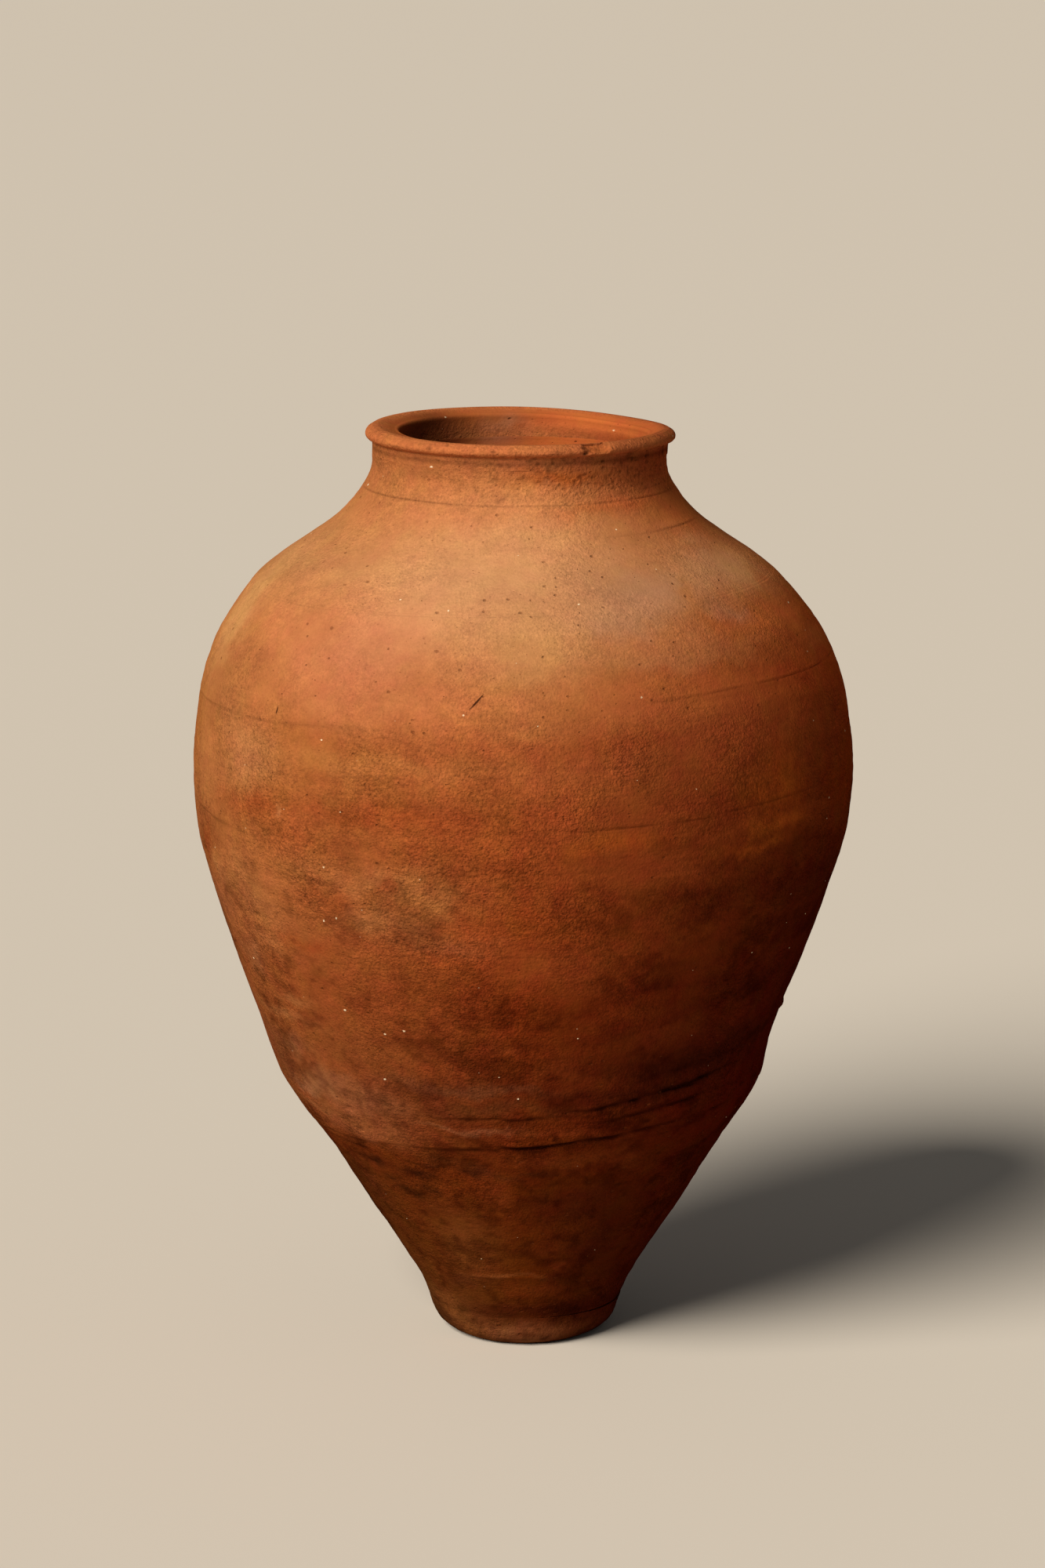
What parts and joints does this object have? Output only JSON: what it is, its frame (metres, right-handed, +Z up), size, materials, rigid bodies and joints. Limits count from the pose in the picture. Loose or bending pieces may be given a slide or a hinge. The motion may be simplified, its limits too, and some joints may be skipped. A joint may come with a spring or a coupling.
{
  "type": "amphora",
  "caption": "Tall handle-less terracotta storage jar: full round shoulders that taper to a small foot, a short neck and a beaded rim round a wide open mouth.",
  "frame": {"origin": "middle of the flat base, on the surface that the jar stands on", "axes": "+Z up along the jar's axis, from the foot to the mouth; +X and +Y level"},
  "size_m": [0.527, 0.527, 0.74],
  "materials": {
    "terracotta_pale": "matte, sandy, fire-flashed pale orange",
    "terracotta_belly": "matte, sandy, orange with brown fire clouds",
    "terracotta_sooted": "matte, sandy, browned and sooted",
    "luting_slip": "matte fired slip"
  },
  "bodies": {
    "root": {"base_disc": "terracotta_sooted", "base_slip": "luting_slip", "foot_coil": "terracotta_sooted", "foot_slip": "luting_slip", "lower_cone": "terracotta_sooted", "cone_slip": "luting_slip", "waist_band": "terracotta_sooted", "band_slip": "luting_slip", "lower_belly": "terracotta_belly", "lower_belly_slip": "luting_slip", "middle_belly": "terracotta_belly", "middle_belly_slip": "luting_slip", "upper_belly": "terracotta_belly", "upper_belly_slip": "luting_slip", "lower_shoulder": "terracotta_pale", "shoulder_slip": "luting_slip", "upper_shoulder": "terracotta_pale", "neck_slip": "luting_slip", "neck_collar": "terracotta_pale", "rim_slip": "luting_slip", "rim_ring": "terracotta_pale"}
  },
  "joints": []
}
